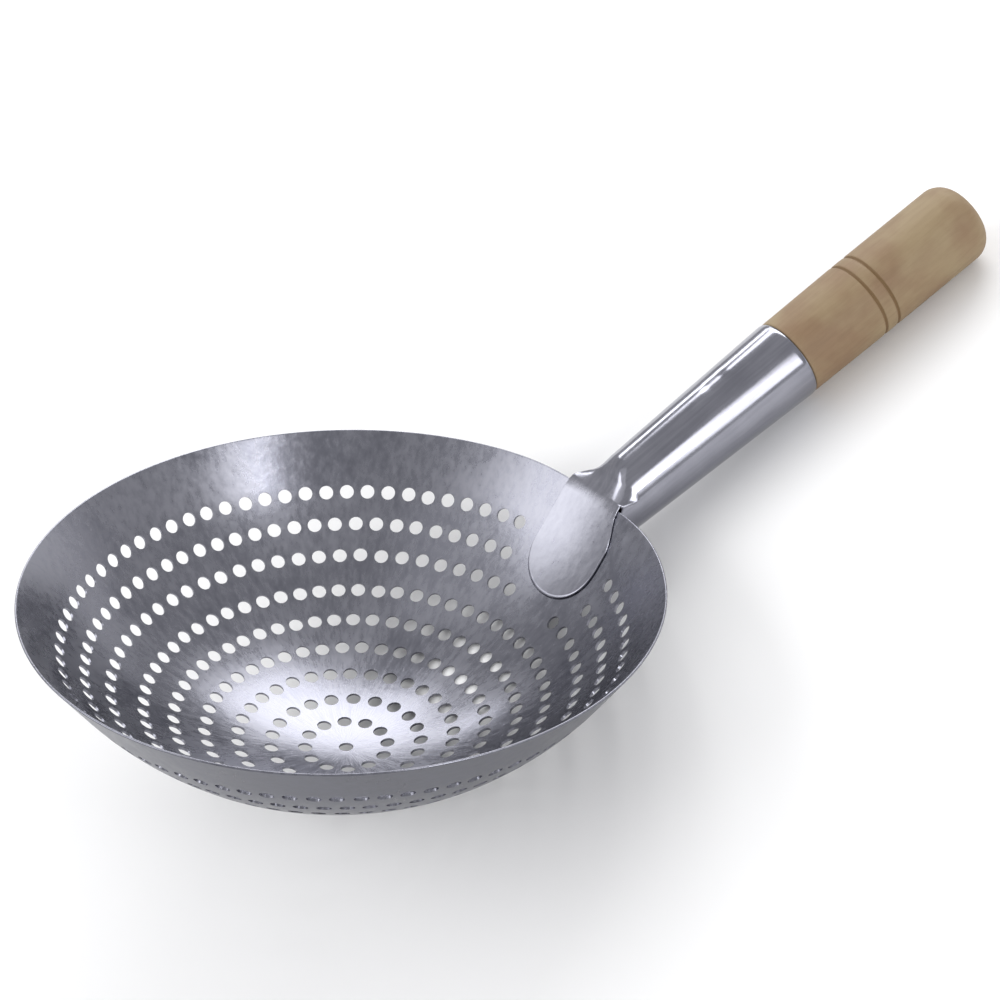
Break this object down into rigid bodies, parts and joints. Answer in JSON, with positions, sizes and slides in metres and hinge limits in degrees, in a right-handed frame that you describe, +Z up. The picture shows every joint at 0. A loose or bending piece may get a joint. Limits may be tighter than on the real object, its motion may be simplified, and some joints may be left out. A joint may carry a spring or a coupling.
{
  "type": "wok strainer",
  "caption": "Long-handled wok strainer: a round punched steel bowl on a rolled steel socket, with a turned wooden grip.",
  "frame": {"origin": "middle of the floor that the strainer covers as it lies, at floor level", "axes": "+X along the handle, from the bowl to the grip's end; +Z up; the XZ plane is the plane of symmetry"},
  "size_m": [0.4465, 0.2616, 0.1388],
  "materials": {
    "bowl_steel": "pressed sheet, half bright, with soft streaks",
    "socket_steel": "rolled sheet, half bright",
    "grip_wood": "plain turned wood, unvarnished"
  },
  "bodies": {
    "root": {"bowl": "bowl_steel", "handle_socket": "socket_steel", "grip": "grip_wood"}
  },
  "joints": []
}
